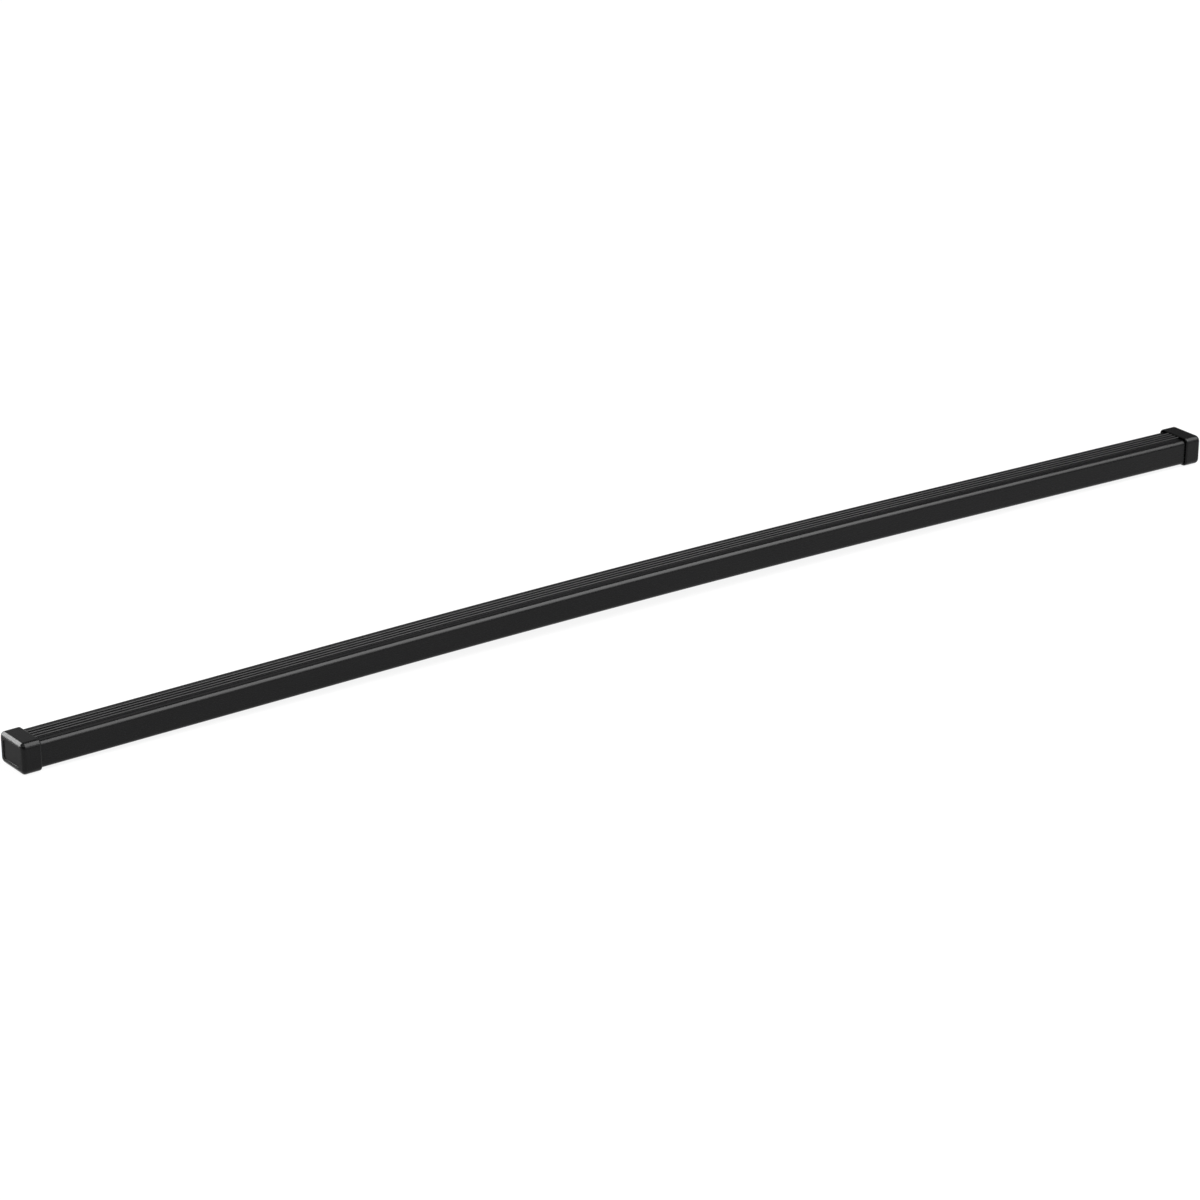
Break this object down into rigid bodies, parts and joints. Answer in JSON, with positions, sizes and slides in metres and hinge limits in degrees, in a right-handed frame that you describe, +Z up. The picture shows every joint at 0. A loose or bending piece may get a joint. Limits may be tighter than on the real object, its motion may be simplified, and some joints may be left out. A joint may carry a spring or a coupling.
{
  "type": "roof rack crossbar",
  "caption": "Bowed roof rack crossbar: a rectangular steel tube in a ribbed black polymer jacket, closed by push-in end caps; feet and carriers clamp round its section.",
  "frame": {"origin": "on the surface that the bar rests on, below the middle of its length and width", "axes": "+X along the bar, -Y to its front, +Z up"},
  "size_m": [1.1802, 0.0362, 0.0315],
  "materials": {
    "galvanised_steel": "galvanised",
    "jacket_polymer": "satin, extruded",
    "cap_polymer": "satin, moulded"
  },
  "bodies": {
    "root": {"steel_tube": "galvanised_steel", "polymer_jacket": "jacket_polymer", "end_cap_left": "cap_polymer", "end_cap_right": "cap_polymer"}
  },
  "joints": []
}
